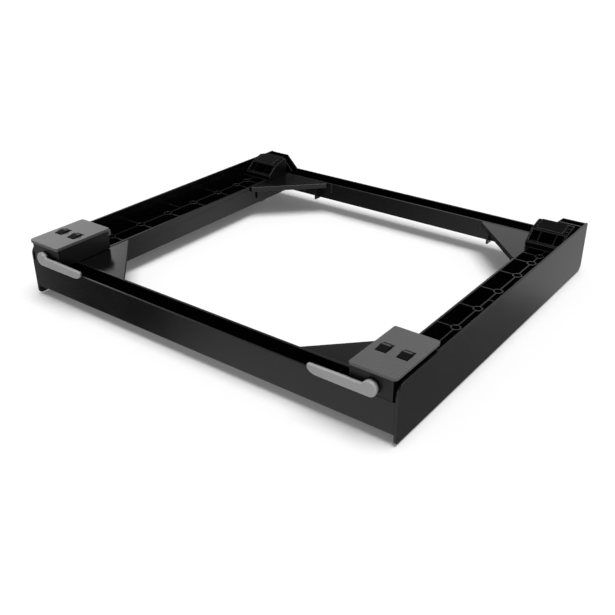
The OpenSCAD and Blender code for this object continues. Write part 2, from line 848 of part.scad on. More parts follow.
// Lever arm in X and Z round its pivot, towards -X; a fillet joins it to the hub
module arm_outline() {
    sweep = [14, 8];    // the tip's lower curve
    tip_r = 2.5;
    fillet = 3;
    tip = lever_h - hub_r;
    top = tip + lever_taper;
    cx = -sqrt(pow(hub_r + fillet, 2) - pow(top + fillet, 2));
    reach = hub_r / (hub_r + fillet);
    polygon(concat(
        [for (a = [180 : 7.5 : 270]) [sweep.x * (1 + cos(a)) - lever_l, sweep.y * (1 + sin(a)) - hub_r]],
        [[0, -hub_r], [0, top], [cx, top]],
        [for (a = [90 : 15 : 180]) [tip_r * (1 + cos(a)) - lever_l, tip + tip_r * (sin(a) - 1)]]));
    difference() {
        polygon([[cx, top], [0, top], [cx * reach, (top + fillet) * reach], [cx, top + fillet]]);
        translate([cx, top + fillet]) circle(fillet);
    }
}

module right_lever() {
    side = square_end + 2 * press;
    color(light_grey) translate([x_lever, 0, z_shaft]) difference() {
        union() {
            rod_y(y_lever0, y_lever1, 0, 0, hub_r);
            along_y(y_lever0, y_lever0 + arm_t) arm_outline();
        }
        span([-side / 2, y_lever1 - socket_d, -side / 2], [side / 2, y_lever1 + over, side / 2]);
    }
}

module left_lever() {
    left() right_lever();
}

module right_lever_shaft() {
    color(steel) {
        rod_y(y_lever1 + press, y_house1 - apart, x_lever, z_shaft, shaft_r);
        translate([x_lever, 0, z_shaft])
            span([-square_end / 2, y_lever1 - socket_d + press, -square_end / 2],
                [square_end / 2, y_lever1 + over, square_end / 2]);
    }
}

module left_lever_shaft() {
    left() right_lever_shaft();
}

module right_shaft_bush() {
    color(light_grey) difference() {
        union() {
            rod_y(y_front + lever_gap, y_bush1, x_lever, z_shaft, shaft_bush_r);
            rod_y(y_front + wall + press, y_front + wall + 2, x_lever, z_shaft, shaft_bush_r + 2.5);
        }
        rod_y(y_front - over, y_bush1 + over, x_lever, z_shaft, shaft_r + run);
    }
}

module left_shaft_bush() {
    left() right_shaft_bush();
}

module right_shaft_clip() {
    color(steel) difference() {
        rod_y(y_bush1 + apart, y_bush1 + apart + 1, x_lever, z_shaft, shaft_r + 2.5);
        rod_y(y_bush1 - over, y_bush1 + 2 + over, x_lever, z_shaft, shaft_r + press);
    }
}

module left_shaft_clip() {
    left() right_shaft_clip();
}

// Cam flank: an involute, so that its lift grows evenly with the angle
cam_start = cam_rest / cam_base * 180 / PI;

function cam_point(t) =
    let (rad = t * PI / 180, r = cam_base * sqrt(1 + rad * rad), a = t - atan(rad) - cam_start + 90)
    [-r * sin(a), -r * cos(a)];

module right_cam() {
    lead = 8;
    tail = 3;
    steps = 36;
    sweep = lever_swing + lead + tail;
    y0 = y_axle_f - cam_w / 2;
    y1 = y_axle_f + cam_w / 2;
    color(steel) translate([x_lever, 0, z_shaft]) difference() {
        union() {
            rod_y(y0, y1, 0, 0, cam_hub_r);
            along_y(y0, y1)
                polygon(concat([[0, 0]],
                    [for (i = [0 : steps]) cam_point(cam_start - lead + i * sweep / steps)]));
        }
        rod_y(y0 - over, y1 + over, 0, 0, shaft_r + press);
    }
}

module left_cam() {
    left() right_cam();
}

// Brake shoes: a body under the cam and an arm that reaches over the wheel
ear_h = 6;
arm_half = lining_l / 2 + 1;

module right_brake_shoe() {
    x0 = x_well + well_gap;
    x1 = x_fork[0] - well_gap;
    half_l = pin_offset + 5;
    color(soft_black) difference() {
        union() {
            span([x0, y_axle_f - half_l, z_shoe0], [x1, y_axle_f + half_l, z_shoe0 + ear_h]);
            span([x0, y_axle_f - cam_w / 2 - 1, z_shoe0], [x1, y_axle_f + cam_w / 2 + 1, z_shoe1]);
            span([x0, y_axle_f - arm_half, z_shoe0],
                [x_fork[1] - well_gap / 2, y_axle_f + arm_half, z_shoe0 + ear_h]);
        }
        for (s = [-1, 1])
            rod_z(z_shoe0 - over, z_shoe0 + ear_h + over, x_pin, y_axle_f + s * pin_offset, pin_r + run);
    }
}

module left_brake_shoe() {
    left() right_brake_shoe();
}

module right_brake_lining() {
    half_w = tyre_w / 2 + 0.5;
    end_z = 2.8;
    color(soft_black) difference() {
        span([x_wheel - half_w, y_axle_f - lining_l / 2, z_shoe0 - lining_t - end_z],
            [x_wheel + half_w, y_axle_f + lining_l / 2, z_shoe0]);
        rod_x(x_wheel - half_w - over, x_wheel + half_w + over, y_axle_f, wheel_r + brake_travel,
            wheel_r + apart);
    }
}

module left_brake_lining() {
    left() right_brake_lining();
}

module right_guide_pins() {
    z0 = z_shelf - shelf_t;
    color(steel) for (s = [-1, 1]) {
        rod_z(z0 - 1, z_deck - 1, x_pin, y_axle_f + s * pin_offset, pin_r);
        rod_z(z0 - 1.4, z0, x_pin, y_axle_f + s * pin_offset, pin_r + 1.2);
    }
}

module left_guide_pins() {
    left() right_guide_pins();
}

// Open coil of round wire along Z from z0 to z1
module coil(r, wire, turns, z0, z1) {
    sides = 6;
    per_turn = 12;
    rings = turns * per_turn;
    rise = z1 - z0 - wire;
    points = [for (i = [0 : rings], j = [0 : sides - 1])
        let (a = i * 360 / per_turn, b = j * 360 / sides, q = r + wire / 2 * cos(b))
        [q * cos(a), q * sin(a), z0 + wire / 2 + rise * i / rings + wire / 2 * sin(b)]];
    skin = [for (i = [0 : rings - 1], j = [0 : sides - 1], k = [0, 1])
        let (p = i * sides + j, q = i * sides + (j + 1) % sides)
        k == 0 ? [p, p + sides, q] : [q, p + sides, q + sides]];
    foot = [for (j = [1 : sides - 2]) [0, j, j + 1]];
    head = [for (j = [1 : sides - 2]) [rings * sides, rings * sides + j + 1, rings * sides + j]];
    polyhedron(points, concat(skin, foot, head));
}

module right_brake_springs() {
    color(steel) for (s = [-1, 1])
        translate([x_pin, y_axle_f + s * pin_offset, 0])
            coil(spring_r, spring_wire, spring_turns, z_shelf + seam, z_shoe0 - seam);
}

module left_brake_springs() {
    left() right_brake_springs();
}

left_rail();
right_rail();
front_bar();
rear_bar();
front_left_gusset();
front_right_gusset();
rear_left_gusset();
rear_right_gusset();
gusset_screws();
housing_screws();
left_front_housing();
right_front_housing();
left_rear_housing();
right_rear_housing();
left_plate();
right_plate();
left_grip_pad();
right_grip_pad();
left_rear_cap();
right_rear_cap();
at_wheel(-1, y_axle_f) axle();  // front_left_axle
at_wheel(1, y_axle_f) axle();  // front_right_axle
at_wheel(-1, y_axle_r) axle();  // rear_left_axle
at_wheel(1, y_axle_r) axle();  // rear_right_axle
axle_clips();
thrust_washers();
at_wheel(-1, y_axle_f) rim();  // front_left_rim
at_wheel(1, y_axle_f) rim();  // front_right_rim
at_wheel(-1, y_axle_r) rim();  // rear_left_rim
at_wheel(1, y_axle_r) rim();  // rear_right_rim
at_wheel(-1, y_axle_f) tyre();  // front_left_tyre
at_wheel(1, y_axle_f) tyre();  // front_right_tyre
at_wheel(-1, y_axle_r) tyre();  // rear_left_tyre
at_wheel(1, y_axle_r) tyre();  // rear_right_tyre
at_wheel(-1, y_axle_f) bush();  // front_left_bush
at_wheel(1, y_axle_f) bush();  // front_right_bush
at_wheel(-1, y_axle_r) bush();  // rear_left_bush
at_wheel(1, y_axle_r) bush();  // rear_right_bush
left_lever();
right_lever();
left_lever_shaft();
right_lever_shaft();
left_shaft_bush();
right_shaft_bush();
left_shaft_clip();
right_shaft_clip();
left_cam();
right_cam();
left_brake_shoe();
right_brake_shoe();
left_brake_lining();
right_brake_lining();
left_guide_pins();
right_guide_pins();
left_brake_springs();
right_brake_springs();
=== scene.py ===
import bpy, bmesh, json, math
from mathutils import Matrix, Vector


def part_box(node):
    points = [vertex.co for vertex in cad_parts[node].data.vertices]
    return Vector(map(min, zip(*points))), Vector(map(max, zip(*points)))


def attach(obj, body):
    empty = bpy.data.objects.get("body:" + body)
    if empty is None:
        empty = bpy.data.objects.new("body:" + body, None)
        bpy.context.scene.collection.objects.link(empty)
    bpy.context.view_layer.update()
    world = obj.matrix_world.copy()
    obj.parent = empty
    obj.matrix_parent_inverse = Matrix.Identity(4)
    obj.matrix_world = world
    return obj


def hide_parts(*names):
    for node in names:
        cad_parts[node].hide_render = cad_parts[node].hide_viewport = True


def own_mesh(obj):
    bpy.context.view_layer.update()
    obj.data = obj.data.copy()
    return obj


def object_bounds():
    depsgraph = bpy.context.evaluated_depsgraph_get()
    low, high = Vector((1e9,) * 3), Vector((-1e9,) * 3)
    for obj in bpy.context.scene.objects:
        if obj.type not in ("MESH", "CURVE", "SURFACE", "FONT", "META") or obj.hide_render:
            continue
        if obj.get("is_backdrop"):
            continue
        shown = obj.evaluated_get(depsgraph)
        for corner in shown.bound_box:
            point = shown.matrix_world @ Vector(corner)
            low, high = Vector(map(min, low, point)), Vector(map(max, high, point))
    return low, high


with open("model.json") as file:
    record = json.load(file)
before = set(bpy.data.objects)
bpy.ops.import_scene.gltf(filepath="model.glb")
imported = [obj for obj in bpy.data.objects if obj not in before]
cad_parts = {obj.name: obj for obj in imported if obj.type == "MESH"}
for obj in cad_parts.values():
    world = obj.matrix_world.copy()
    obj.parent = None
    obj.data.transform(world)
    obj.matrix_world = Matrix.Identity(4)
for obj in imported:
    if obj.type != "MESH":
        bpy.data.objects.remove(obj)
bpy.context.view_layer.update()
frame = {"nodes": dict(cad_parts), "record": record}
cadNodes = frame["nodes"]
bodyOf = {n: body for body, names in frame["record"]["behaviour"]["bodies"].items() for n in names}
slotOf = {s["node"]: s["material_slot"] for s in frame["record"]["subparts"]}
print("frame loaded:", len(cadNodes), "nodes")


def newNode(tree, kind, inputs=None, **settings):
    node = tree.nodes.new(kind)
    for key, value in settings.items():
        setattr(node, key, value)
    for key, value in (inputs or {}).items():
        if isinstance(value, bpy.types.NodeSocket):
            tree.links.new(value, node.inputs[key])
        else:
            node.inputs[key].default_value = value
    return node


def firstOut(tree, kind, inputs=None, **settings):
    return newNode(tree, kind, inputs, **settings).outputs[0]


def mathOut(tree, operation, *values, clamp=False):
    return firstOut(tree, "ShaderNodeMath", dict(enumerate(values)), operation=operation, use_clamp=clamp)


def rangeOut(tree, value, low, high, toLow=0.0, toHigh=1.0):
    node = newNode(tree, "ShaderNodeMapRange", {"Value": value, "From Min": low, "From Max": high,
                                                "To Min": toLow, "To Max": toHigh})
    return node.outputs["Result"]


def mixOut(tree, factor, first, second):
    node = newNode(tree, "ShaderNodeMix", data_type="RGBA", clamp_factor=True)
    for key, value in (("Factor_Float", factor), ("A_Color", first), ("B_Color", second)):
        socket = next(s for s in node.inputs if s.identifier == key)
        if isinstance(value, bpy.types.NodeSocket):
            tree.links.new(value, socket)
        else:
            socket.default_value = value
    return next(s for s in node.outputs if s.identifier == "Result_Color")


def grey(value, tint=(1.0, 1.0, 1.0)):
    return (value * tint[0], value * tint[1], value * tint[2], 1.0)


def noiseOut(tree, place, scale, detail=2.0, roughness=0.5, stretch=None, turn=(0.0, 0.0, 0.0)):
    if stretch:
        place = firstOut(tree, "ShaderNodeMapping", {"Vector": place, "Scale": stretch, "Rotation": turn})
    node = newNode(tree, "ShaderNodeTexNoise", {"Vector": place, "Scale": scale, "Detail": detail,
                                                "Roughness": roughness})
    return node.outputs["Fac"]


def newMaterial(name):
    material = bpy.data.materials.new(name)
    material.use_nodes = True
    tree = material.node_tree
    tree.nodes.clear()
    shader = newNode(tree, "ShaderNodeBsdfPrincipled")
    newNode(tree, "ShaderNodeOutputMaterial", {"Surface": shader.outputs[0]})
    place = newNode(tree, "ShaderNodeTexCoord").outputs["Object"]
    return material, tree, shader, place


def addBump(tree, shader, height, depth, strength=1.0):
    bump = firstOut(tree, "ShaderNodeBump", {"Height": height, "Strength": strength, "Distance": depth})
    tree.links.new(bump, shader.inputs["Normal"])


# colour is the plastic's own shade, except in the entries for edges: lighter copies, a painted highlight on the
# rounded edges, with more handling marks; mottle how much it varies; roughness low and high; gloss the specular
# level;
# grainSize the spacing of the moulded grain in metres, grainDepth its height; scuffs the share of handling marks
plasticLooks = {
    "blackPlastic": dict(colour=0.0022, tint=(1.0, 1.0, 1.03), mottle=0.25, roughness=(0.15, 0.21), gloss=0.5,
                         grainSize=0.0012, grainDepth=0.0000012, scuffs=0.3),
    "blackPlasticEdgeHighlight": dict(colour=0.012, tint=(1.0, 1.0, 1.02), mottle=0.25, roughness=(0.2, 0.3), gloss=0.5,
                             grainSize=0.0012, grainDepth=0.000002, scuffs=0.5),
    "softBlackPlastic": dict(colour=0.005, tint=(1.0, 1.0, 1.03), mottle=0.15, roughness=(0.3, 0.4), gloss=0.38,
                             grainSize=0.0007, grainDepth=0.000012, scuffs=0.25),
    "softBlackEdgeHighlight": dict(colour=0.028, tint=(1.0, 1.0, 1.02), mottle=0.2, roughness=(0.3, 0.4), gloss=0.4,
                          grainSize=0.0007, grainDepth=0.000008, scuffs=0.4),
    "capPlastic": dict(colour=0.003, tint=(1.0, 1.0, 1.03), mottle=0.2, roughness=(0.3, 0.4), gloss=0.1,
                       grainSize=0.0007, grainDepth=0.000012, scuffs=0.25),
    "greyPlastic": dict(colour=0.108, tint=(1.0, 1.0, 1.01), mottle=0.04, roughness=(0.25, 0.29), gloss=0.5,
                        grainSize=0.0006, grainDepth=0.000006, scuffs=0.12),
    "greyPlasticEdgeHighlight": dict(colour=0.135, tint=(1.0, 1.0, 1.01), mottle=0.05, roughness=(0.26, 0.34), gloss=0.5,
                            grainSize=0.0006, grainDepth=0.000006, scuffs=0.3),
    "leverPlastic": dict(colour=0.4, tint=(1.0, 1.0, 1.0), mottle=0.08, roughness=(0.3, 0.38), gloss=0.5,
                         grainSize=0.0008, grainDepth=0.000008, scuffs=0.2),
    "bearingPlastic": dict(colour=0.62, tint=(1.0, 0.995, 0.97), mottle=0.08, roughness=(0.3, 0.42), gloss=0.5,
                           grainSize=0.0012, grainDepth=0.000006, scuffs=0.2),
}
# what all the plastics share: broad clouds and fine flecks vary the shade, and a slow wave lies under the grain;
# each has its scale, in cells to the metre, and its share
mottleLook = dict(cloud=9.0, cloudShare=0.7, fleck=160.0, fleckShare=0.3, low=0.3, high=0.7)
waveLook = dict(scale=30.0, share=2.0)
# fine handling marks: noises stretched two ways, each with its turn, that show at their peaks, from low to high;
# a mark's shade is the plastic's times lighter, plus more, and shadeShare and rougher say how much it tells
scuffLook = dict(ways=(((25.0, 420.0, 420.0), (0.0, 0.0, 0.35)), ((380.0, 30.0, 380.0), (0.0, 0.0, -0.2))),
                 low=0.66, high=0.80, lighter=2.2, more=0.01, shadeShare=0.25, rougher=0.12)


def mouldedPlastic(name):
    look = plasticLooks[name]
    material, tree, shader, place = newMaterial(name)
    cloud = noiseOut(tree, place, mottleLook["cloud"], detail=4.0, roughness=0.6)
    fleck = noiseOut(tree, place, mottleLook["fleck"], detail=3.0)
    both = mathOut(tree, "ADD", mathOut(tree, "MULTIPLY", cloud, mottleLook["cloudShare"]),
                   mathOut(tree, "MULTIPLY", fleck, mottleLook["fleckShare"]))
    shade = rangeOut(tree, both, mottleLook["low"], mottleLook["high"])
    low, high = look["colour"] * (1 - look["mottle"]), look["colour"] * (1 + look["mottle"])
    colour = mixOut(tree, shade, grey(low, look["tint"]), grey(high, look["tint"]))
    marks = [noiseOut(tree, place, 1.0, detail=3.0, roughness=0.7, stretch=stretch, turn=turn)
             for stretch, turn in scuffLook["ways"]]
    peaks = rangeOut(tree, mathOut(tree, "MAXIMUM", *marks), scuffLook["low"], scuffLook["high"])
    scuff = mathOut(tree, "MULTIPLY", peaks, look["scuffs"])
    colour = mixOut(tree, mathOut(tree, "MULTIPLY", scuff, scuffLook["shadeShare"]), colour,
                    grey(high * scuffLook["lighter"] + scuffLook["more"], look["tint"]))
    tree.links.new(colour, shader.inputs["Base Color"])
    rough = rangeOut(tree, shade, 0.0, 1.0, *look["roughness"])
    rough = mathOut(tree, "ADD", rough, mathOut(tree, "MULTIPLY", scuff, scuffLook["rougher"]), clamp=True)
    tree.links.new(rough, shader.inputs["Roughness"])
    shader.inputs["Specular IOR Level"].default_value = look["gloss"]
    grain = newNode(tree, "ShaderNodeTexVoronoi", {"Vector": place, "Scale": 1 / look["grainSize"]})
    wave = noiseOut(tree, place, waveLook["scale"], detail=2.0)
    height = mathOut(tree, "ADD", grain.outputs["Distance"], mathOut(tree, "MULTIPLY", wave, waveLook["share"]))
    addBump(tree, shader, height, look["grainDepth"])
    return material


# rubber is dull, with a pebbled skin; its second shade is a painted highlight that level tops get; pebble is the
# pebbles' spacing and depth their height, in metres
rubberLooks = {
    "padRubber": dict(colour=0.003, paintedTopHighlight=0.085, roughness=(0.5, 0.62), gloss=0.1, pebble=0.0011, depth=0.00002),
    "tyreRubber": dict(colour=0.028, paintedTopHighlight=0.028, roughness=(0.6, 0.78), gloss=0.35, pebble=0.0016, depth=0.00005),
}
# clouds in cells to the metre; how far they take the shade, and the painted highlight on level tops, down and up; a
# top is level from flatFrom to flatTo
rubberClouds = dict(scale=60.0, low=0.35, high=0.7, darker=0.8, lighter=1.35, highlightDarker=0.85, highlightLighter=1.15,
                    flatFrom=0.99, flatTo=0.997)


def rubber(name):
    look, clouds = rubberLooks[name], rubberClouds
    material, tree, shader, place = newMaterial(name)
    cloud = noiseOut(tree, place, clouds["scale"], detail=5.0, roughness=0.65)
    shade = rangeOut(tree, cloud, clouds["low"], clouds["high"])
    colour = mixOut(tree, shade, grey(look["colour"] * clouds["darker"]), grey(look["colour"] * clouds["lighter"]))
    # level tops take the painted highlight in place of the rubber's own shade
    upward = newNode(tree, "ShaderNodeSeparateXYZ",
                     {0: newNode(tree, "ShaderNodeNewGeometry").outputs["True Normal"]}).outputs["Z"]
    highlitTops = mixOut(tree, shade, grey(look["paintedTopHighlight"] * clouds["highlightDarker"]),
                    grey(look["paintedTopHighlight"] * clouds["highlightLighter"]))
    colour = mixOut(tree, rangeOut(tree, upward, clouds["flatFrom"], clouds["flatTo"]), colour, highlitTops)
    tree.links.new(colour, shader.inputs["Base Color"])
    tree.links.new(rangeOut(tree, shade, 0.0, 1.0, *look["roughness"]), shader.inputs["Roughness"])
    shader.inputs["Specular IOR Level"].default_value = look["gloss"]
    pebbles = newNode(tree, "ShaderNodeTexVoronoi", {"Vector": place, "Scale": 1 / look["pebble"]},
                      feature="SMOOTH_F1").outputs["Distance"]
    addBump(tree, shader, pebbles, look["depth"])
    return material


# zinc plated and blackened steel: dark and light are the shades of its spangle, spangle the spacing in metres,
# marks the fineness of the turning marks, in lines to the metre
steelLooks = {
    "zincSteel": dict(dark=0.34, light=0.52, roughness=(0.24, 0.42), spangle=0.0022, marks=1500.0),
    "blackSteel": dict(dark=0.02, light=0.045, roughness=(0.34, 0.5), spangle=0.0016, marks=1800.0),
}
# fleck in cells to the metre, with its share; a turning mark's length to its width, its depth and how much it shows
platingLook = dict(fleck=120.0, fleckShare=0.5, low=0.2, high=0.8, markLength=12, markDepth=0.00002, markShown=0.5,
                   darkTint=(1.0, 1.0, 1.02), lightTint=(1.0, 1.0, 1.01))


def platedSteel(name):
    look = steelLooks[name]
    material, tree, shader, place = newMaterial(name)
    spangle = newNode(tree, "ShaderNodeTexVoronoi", {"Vector": place, "Scale": 1 / look["spangle"]})
    patch = firstOut(tree, "ShaderNodeSeparateColor", {0: spangle.outputs["Color"]})
    fleck = noiseOut(tree, place, platingLook["fleck"], detail=4.0)
    shade = mathOut(tree, "ADD", mathOut(tree, "MULTIPLY", patch, 1 - platingLook["fleckShare"]),
                    mathOut(tree, "MULTIPLY", fleck, platingLook["fleckShare"]))
    colour = mixOut(tree, shade, grey(look["dark"], platingLook["darkTint"]),
                    grey(look["light"], platingLook["lightTint"]))
    tree.links.new(colour, shader.inputs["Base Color"])
    shader.inputs["Metallic"].default_value = 1.0
    rough = rangeOut(tree, shade, platingLook["low"], platingLook["high"], *look["roughness"])
    tree.links.new(rough, shader.inputs["Roughness"])
    stretch = (look["marks"], look["marks"] / platingLook["markLength"], look["marks"])
    lines = noiseOut(tree, place, 1.0, detail=2.0, stretch=stretch)
    addBump(tree, shader, lines, platingLook["markDepth"], platingLook["markShown"])
    return material


finishes = {name: mouldedPlastic(name) for name in plasticLooks}
finishes.update({name: rubber(name) for name in rubberLooks})
finishes.update({name: platedSteel(name) for name in steelLooks})
print("finishes made:", len(finishes))

finishOfSlot = {"black_plastic": "blackPlastic", "soft_black_plastic": "softBlackPlastic",
                "grey_plastic": "greyPlastic", "lever_plastic": "leverPlastic", "rubber": "padRubber",
                "tyre": "tyreRubber", "bearing_plastic": "bearingPlastic", "steel": "zincSteel"}
for name, node in cadNodes.items():
    node.data.materials.clear()
    node.data.materials.append(finishes[finishOfSlot[slotOf[name]]])


def standFor(piece, nodeName, body=None):
    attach(piece, body or bodyOf[nodeName])
    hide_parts(nodeName)


def newPiece(name, mesh):
    piece = bpy.data.objects.new(name, mesh)
    bpy.context.scene.collection.objects.link(piece)
    return piece


weldReach = 0.0001  # corners closer than this, in metres, are one corner
flatWithin = math.radians(0.6)  # neighbouring faces turned less than this are one face
sharpFrom = math.radians(32)  # edges sharper than this get a moulded radius


def mergedMesh(nodeName, name, rounded, frontOnly):
    mesh = bpy.data.meshes.new(name)
    work = bmesh.new()
    work.from_mesh(cadNodes[nodeName].data)
    bmesh.ops.remove_doubles(work, verts=work.verts, dist=weldReach)
    bmesh.ops.dissolve_limit(work, angle_limit=flatWithin, verts=work.verts, edges=work.edges)
    for face in work.faces:
        face.smooth = rounded
    front = min(vert.co.y for vert in work.verts) + weldReach
    weight = work.edges.layers.float.new("bevel_weight_edge")
    for edge in work.edges:
        sharp = edge.is_manifold and edge.calc_face_angle() > sharpFrom
        if sharp and (not frontOnly or all(vert.co.y < front for vert in edge.verts)):
            edge[weight] = 1.0
    work.to_mesh(mesh)
    work.free()
    return mesh


# edge is the moulded radius in metres, steps its segments; pieces are rounded, with curved faces to shade
# smoothly, unless they say otherwise, and frontOnly pieces keep their hidden back edges square
# edgeFinish colours the rounded edges; where it is a lighter copy of the finish, that is a painted highlight
mouldedEdges = {
    "rail": dict(edge=0.00045, steps=2, finish="blackPlastic", edgeFinish="blackPlasticEdgeHighlight"),
    "bar": dict(edge=0.0005, steps=2, finish="blackPlastic", edgeFinish="blackPlasticEdgeHighlight", rounded=False),
    "gusset": dict(edge=0.0002, steps=1, finish="blackPlastic", edgeFinish="blackPlastic", rounded=False),
    "housing": dict(edge=0.0005, steps=2, finish="softBlackPlastic", edgeFinish="softBlackEdgeHighlight"),
    "arch": dict(edge=0.0005, steps=2, finish="capPlastic", edgeFinish="softBlackEdgeHighlight"),
    "cap": dict(edge=0.0006, steps=3, finish="capPlastic", edgeFinish="softBlackEdgeHighlight"),
    "plate": dict(edge=0.0005, steps=3, finish="greyPlastic", edgeFinish="greyPlasticEdgeHighlight"),
    "pad": dict(edge=0.0006, steps=2, finish="padRubber", edgeFinish="padRubber"),
    "lever": dict(edge=0.0018, steps=6, finish="leverPlastic", edgeFinish="leverPlastic", frontOnly=True),
    "shoe": dict(edge=0.0004, steps=2, finish="softBlackPlastic", edgeFinish="softBlackEdgeHighlight"),
    "rim": dict(edge=0.0003, steps=2, finish="bearingPlastic", edgeFinish="bearingPlastic"),
    "bearing": dict(edge=0.00015, steps=2, finish="bearingPlastic", edgeFinish="bearingPlastic"),
    "cam": dict(edge=0.0003, steps=2, finish="bearingPlastic", edgeFinish="bearingPlastic"),
    "lining": dict(edge=0.0003, steps=2, finish="tyreRubber", edgeFinish="tyreRubber"),
    "turned": dict(edge=0.0002, steps=2, finish="zincSteel", edgeFinish="zincSteel"),
}


def mouldedPiece(nodeName, kind):
    look = mouldedEdges[kind]
    name = nodeName + "_finished"
    rounded = look.get("rounded", True)
    piece = newPiece(name, mergedMesh(nodeName, name, rounded, look.get("frontOnly", False)))
    piece.data.materials.append(finishes[look["finish"]])
    piece.data.materials.append(finishes[look["edgeFinish"]])
    bevel = piece.modifiers.new("mouldedEdge", "BEVEL")
    bevel.width = look["edge"]
    bevel.segments = look["steps"]
    bevel.limit_method = "WEIGHT"
    bevel.use_clamp_overlap = False
    # the rounded edges take the edge finish, a painted highlight where it is lighter
    bevel.material = 1
    if rounded:  # broad faces keep their own flat shading, so that they mirror cleanly
        shading = piece.modifiers.new("flatFaces", "WEIGHTED_NORMAL")
        shading.mode = "FACE_AREA"
        shading.weight = 100
        shading.thresh = 0.0001
    standFor(piece, nodeName)


sidePieces = {"rail": "rail", "front_housing": "housing", "rear_housing": "arch", "rear_cap": "cap",
              "plate": "plate", "grip_pad": "pad", "lever": "lever", "brake_shoe": "shoe",
              "brake_lining": "lining", "cam": "cam", "shaft_bush": "bearing", "lever_shaft": "turned",
              "guide_pins": "turned"}
cornerPieces = {"gusset": "gusset", "rim": "rim", "bush": "bearing", "axle": "turned"}
for side in ("left", "right"):
    for part, kind in sidePieces.items():
        mouldedPiece(side + "_" + part, kind)
    for end in ("front", "rear"):
        for part, kind in cornerPieces.items():
            mouldedPiece(end + "_" + side + "_" + part, kind)
for end in ("front", "rear"):
    mouldedPiece(end + "_bar", "bar")
print("moulded pieces made")


# sizes names the tree's inputs, each with its usual value
def newTree(name, sizes):
    tree = bpy.data.node_groups.new(name, "GeometryNodeTree")
    tree.interface.new_socket("Geometry", in_out="INPUT", socket_type="NodeSocketGeometry")
    for label, value in sizes.items():
        kind = "NodeSocketInt" if isinstance(value, int) else "NodeSocketFloat"
        tree.interface.new_socket(label, in_out="INPUT", socket_type=kind).default_value = value
    tree.interface.new_socket("Geometry", in_out="OUTPUT", socket_type="NodeSocketGeometry")
    start = tree.nodes.new("NodeGroupInput")
    end = tree.nodes.new("NodeGroupOutput")
    return tree, start.outputs, end


def closeTree(tree, end, geometry, material):
    real = firstOut(tree, "GeometryNodeRealizeInstances", {0: geometry})
    painted = firstOut(tree, "GeometryNodeSetMaterial", {"Geometry": real, "Material": material})
    tree.links.new(painted, end.inputs[0])


def vectorOut(tree, **axes):
    return firstOut(tree, "ShaderNodeCombineXYZ", axes)


def joinOut(tree, *shapes):
    joined = newNode(tree, "GeometryNodeJoinGeometry")
    for shape in shapes:
        tree.links.new(shape, joined.inputs[0])
    return joined.outputs[0]


# runs the tree on the points and keeps the plain mesh that it makes
def grown(name, tree, points, sizes, facings=None):
    mesh = bpy.data.meshes.new(name + "_points")
    mesh.from_pydata([tuple(p) for p in points], [], [])
    if facings:
        facing = mesh.attributes.new("facing", "FLOAT_VECTOR", "POINT")
        for i, f in enumerate(facings):
            facing.data[i].vector = f
    seed = newPiece(name + "_seed", mesh)
    modifier = seed.modifiers.new(name, "NODES")
    modifier.node_group = tree
    for item in tree.interface.items_tree:
        if item.item_type == "SOCKET" and item.in_out == "INPUT" and item.name in sizes:
            modifier[item.identifier] = sizes[item.name]
    bpy.context.view_layer.update()
    graph = bpy.context.evaluated_depsgraph_get()
    result = bpy.data.meshes.new_from_object(seed.evaluated_get(graph))
    result.name = name
    seed.modifiers.remove(modifier)
    bpy.data.objects.remove(seed)
    return newPiece(name, result)


# head and shank are radii and height is the head's, in metres; the places come from the frame's own screws
screwLooks = {
    "gusset_screws": dict(head=0.0038, height=0.0022, shank=0.002, slot=0.0009),
    "housing_screws": dict(head=0.00285, height=0.00165, shank=0.0015, slot=0.0007),
}
# taper is the head's top radius and slotLength the cross slot's length, both to the head's radius
screwShape = dict(headSides=28, shankSides=20, taper=0.8, slotLength=1.1, usualLength=0.009)
islandReach = 0.000004  # corners of one screw that are closer than this, in metres, are joined


def screwSizes(look, length):
    return {"Head Radius": look["head"], "Head Height": look["height"], "Shank Radius": look["shank"],
            "Shank Length": length, "Slot Width": look["slot"]}


def screwTree():
    usual = screwSizes(screwLooks["gusset_screws"], screwShape["usualLength"])
    tree, take, end = newTree("panScrews", usual)
    topRadius = mathOut(tree, "MULTIPLY", take["Head Radius"], screwShape["taper"])
    head = firstOut(tree, "GeometryNodeMeshCone", {
        "Vertices": screwShape["headSides"], "Radius Top": topRadius, "Radius Bottom": take["Head Radius"],
        "Depth": take["Head Height"]})
    long, wide = mathOut(tree, "MULTIPLY", take["Head Radius"], screwShape["slotLength"]), take["Slot Width"]
    cut = newNode(tree, "GeometryNodeMeshBoolean", {"Mesh 1": head}, operation="DIFFERENCE")
    for x, y in ((long, wide), (wide, long)):
        bar = firstOut(tree, "GeometryNodeMeshCube", {"Size": vectorOut(tree, X=x, Y=y, Z=take["Head Height"])})
        raised = firstOut(tree, "GeometryNodeTransform",
                          {"Geometry": bar, "Translation": vectorOut(tree, Z=take["Head Height"])})
        tree.links.new(raised, cut.inputs["Mesh 2"])
    shank = firstOut(tree, "GeometryNodeMeshCylinder", {
        "Vertices": screwShape["shankSides"], "Radius": take["Shank Radius"], "Depth": take["Shank Length"]})
    halfDown = vectorOut(tree, Z=mathOut(tree, "MULTIPLY", take["Shank Length"], -0.5))
    shank = firstOut(tree, "GeometryNodeTransform", {"Geometry": shank, "Translation": halfDown})
    screw = joinOut(tree, cut.outputs[0], shank)
    facing = firstOut(tree, "GeometryNodeInputNamedAttribute", {"Name": "facing"}, data_type="FLOAT_VECTOR")
    turn = firstOut(tree, "FunctionNodeAlignRotationToVector", {"Vector": facing}, axis="Z")
    placed = firstOut(tree, "GeometryNodeInstanceOnPoints", {"Points": take[0], "Instance": screw,
                                                             "Rotation": turn})
    closeTree(tree, end, placed, finishes["blackSteel"])
    return tree


